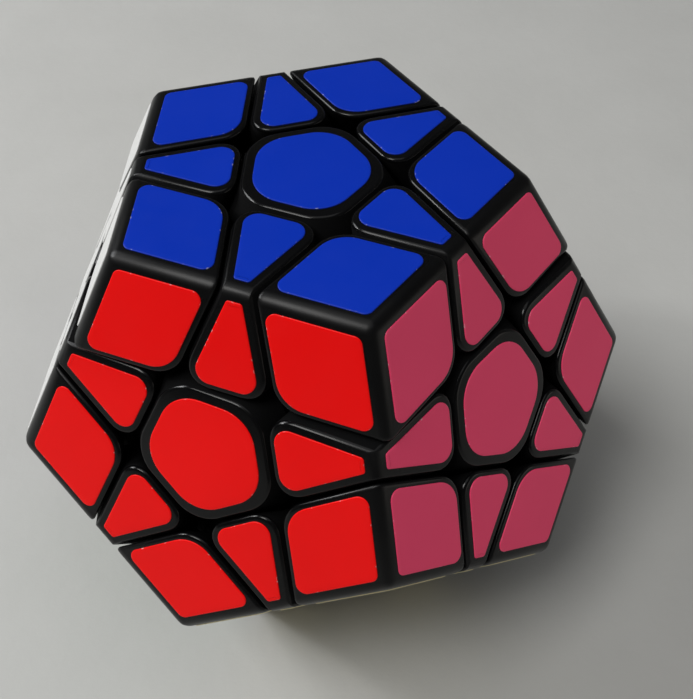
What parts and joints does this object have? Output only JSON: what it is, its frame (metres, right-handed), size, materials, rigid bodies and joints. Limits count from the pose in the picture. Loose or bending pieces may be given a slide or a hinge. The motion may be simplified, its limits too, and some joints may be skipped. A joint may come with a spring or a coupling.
{
  "type": "dodecahedron twisty puzzle",
  "caption": "Twelve-sided twisty puzzle: black plastic centre, edge and corner pieces with coloured faces, turning in layers about a sprung, screwed core.",
  "frame": {"origin": "middle of the core, where the twelve layer axes meet", "axes": "+Z through the middle of the blue face, which is up; the sky face is down and the red and pink faces meet towards -Y. The blue layer rests turned 2.8 degrees about +Z, as in the picture"},
  "size_m": [0.0852, 0.0896, 0.0734],
  "materials": {
    "black_plastic": "satin black injection-moulded ABS",
    "core_plastic": "dark moulded plastic",
    "screw_steel": "bright zinc-plated steel",
    "spring_steel": "drawn spring wire",
    "sticker_blue": "satin vinyl sticker",
    "sticker_red": "satin vinyl sticker",
    "sticker_pink": "satin vinyl sticker",
    "sticker_lime": "satin vinyl sticker",
    "sticker_yellow": "satin vinyl sticker",
    "sticker_white": "satin vinyl sticker",
    "sticker_cream": "satin vinyl sticker",
    "sticker_grey": "satin vinyl sticker",
    "sticker_orange": "satin vinyl sticker",
    "sticker_purple": "satin vinyl sticker",
    "sticker_green": "satin vinyl sticker",
    "sticker_sky": "satin vinyl sticker"
  },
  "bodies": {
    "core": {"core": "core_plastic", "corner_red_white_green": "black_plastic", "corner_and_edges_pink_lime_grey": "black_plastic", "corner_and_edges_lime_yellow_orange": "black_plastic", "corner_lime_grey_orange": "black_plastic", "corner_and_edges_grey_orange_sky": "black_plastic", "edge_red_pink": "black_plastic", "edge_red_white": "black_plastic", "edge_red_green": "black_plastic", "edge_yellow_white": "black_plastic", "edge_white_green": "black_plastic", "edge_green_sky": "black_plastic", "screw_blue": "screw_steel", "spring_blue": "spring_steel", "screw_cream": "screw_steel", "spring_cream": "spring_steel", "screw_purple": "screw_steel", "spring_purple": "spring_steel"},
    "layer_blue": {"corner_blue_red_pink": "black_plastic", "corner_blue_red_white": "black_plastic", "corner_blue_pink_lime": "black_plastic", "corner_blue_lime_yellow": "black_plastic", "corner_blue_yellow_white": "black_plastic", "edge_blue_red": "black_plastic", "edge_blue_pink": "black_plastic", "edge_blue_lime": "black_plastic", "edge_blue_yellow": "black_plastic", "edge_blue_white": "black_plastic"},
    "layer_cream": {"corner_red_pink_cream": "black_plastic", "corner_red_cream_green": "black_plastic", "corner_pink_cream_grey": "black_plastic", "corner_cream_grey_sky": "black_plastic", "corner_cream_green_sky": "black_plastic", "edge_red_cream": "black_plastic", "edge_pink_cream": "black_plastic", "edge_cream_grey": "black_plastic", "edge_cream_green": "black_plastic", "edge_cream_sky": "black_plastic"},
    "layer_purple": {"corner_yellow_white_purple": "black_plastic", "corner_yellow_orange_purple": "black_plastic", "corner_white_purple_green": "black_plastic", "corner_orange_purple_sky": "black_plastic", "corner_purple_green_sky": "black_plastic", "edge_yellow_purple": "black_plastic", "edge_white_purple": "black_plastic", "edge_orange_purple": "black_plastic", "edge_purple_green": "black_plastic", "edge_purple_sky": "black_plastic"},
    "centre_blue": {"centre_blue": "black_plastic"},
    "centre_red": {"centre_red": "black_plastic"},
    "centre_pink": {"centre_pink": "black_plastic"},
    "centre_lime": {"centre_lime": "black_plastic"},
    "centre_yellow": {"centre_yellow": "black_plastic"},
    "centre_white": {"centre_white": "black_plastic"},
    "centre_cream": {"centre_cream": "black_plastic"},
    "centre_grey": {"centre_grey": "black_plastic"},
    "centre_orange": {"centre_orange": "black_plastic"},
    "centre_purple": {"centre_purple": "black_plastic"},
    "centre_green": {"centre_green": "black_plastic"},
    "centre_sky": {"centre_sky": "black_plastic"}
  },
  "joints": [
    {"name": "turn_blue", "type": "hinge", "parent": "core", "child": "layer_blue", "pos_m": [0, 0, 0], "axis": [0, 0, 1], "continuous": true},
    {"name": "turn_cream", "type": "hinge", "parent": "core", "child": "layer_cream", "pos_m": [0, 0, 0], "axis": [0, -0.8944, -0.4472], "continuous": true},
    {"name": "turn_purple", "type": "hinge", "parent": "core", "child": "layer_purple", "pos_m": [0, 0, 0], "axis": [-0.5257, 0.7236, -0.4472], "continuous": true},
    {"name": "float_blue", "type": "slide", "parent": "layer_blue", "child": "centre_blue", "axis": [0, 0, 1], "range_m": [0, 0.0006], "stiffness_N_per_m": 800, "springref_m": -0.002, "deforming": ["spring_blue"]},
    {"name": "float_red", "type": "slide", "parent": "core", "child": "centre_red", "axis": [-0.5257, -0.7236, 0.4472], "range_m": [0, 0.0006], "stiffness_N_per_m": 800, "springref_m": -0.002},
    {"name": "float_pink", "type": "slide", "parent": "core", "child": "centre_pink", "axis": [0.5257, -0.7236, 0.4472], "range_m": [0, 0.0006], "stiffness_N_per_m": 800, "springref_m": -0.002},
    {"name": "float_lime", "type": "slide", "parent": "core", "child": "centre_lime", "axis": [0.8507, 0.2764, 0.4472], "range_m": [0, 0.0006], "stiffness_N_per_m": 800, "springref_m": -0.002},
    {"name": "float_yellow", "type": "slide", "parent": "core", "child": "centre_yellow", "axis": [0, 0.8944, 0.4472], "range_m": [0, 0.0006], "stiffness_N_per_m": 800, "springref_m": -0.002},
    {"name": "float_white", "type": "slide", "parent": "core", "child": "centre_white", "axis": [-0.8507, 0.2764, 0.4472], "range_m": [0, 0.0006], "stiffness_N_per_m": 800, "springref_m": -0.002},
    {"name": "float_cream", "type": "slide", "parent": "layer_cream", "child": "centre_cream", "axis": [0, -0.8944, -0.4472], "range_m": [0, 0.0006], "stiffness_N_per_m": 800, "springref_m": -0.002, "deforming": ["spring_cream"]},
    {"name": "float_grey", "type": "slide", "parent": "core", "child": "centre_grey", "axis": [0.8507, -0.2764, -0.4472], "range_m": [0, 0.0006], "stiffness_N_per_m": 800, "springref_m": -0.002},
    {"name": "float_orange", "type": "slide", "parent": "core", "child": "centre_orange", "axis": [0.5257, 0.7236, -0.4472], "range_m": [0, 0.0006], "stiffness_N_per_m": 800, "springref_m": -0.002},
    {"name": "float_purple", "type": "slide", "parent": "layer_purple", "child": "centre_purple", "axis": [-0.5257, 0.7236, -0.4472], "range_m": [0, 0.0006], "stiffness_N_per_m": 800, "springref_m": -0.002, "deforming": ["spring_purple"]},
    {"name": "float_green", "type": "slide", "parent": "core", "child": "centre_green", "axis": [-0.8507, -0.2764, -0.4472], "range_m": [0, 0.0006], "stiffness_N_per_m": 800, "springref_m": -0.002},
    {"name": "float_sky", "type": "slide", "parent": "core", "child": "centre_sky", "axis": [0, 0, -1], "range_m": [0, 0.0006], "stiffness_N_per_m": 800, "springref_m": -0.002}
  ]
}
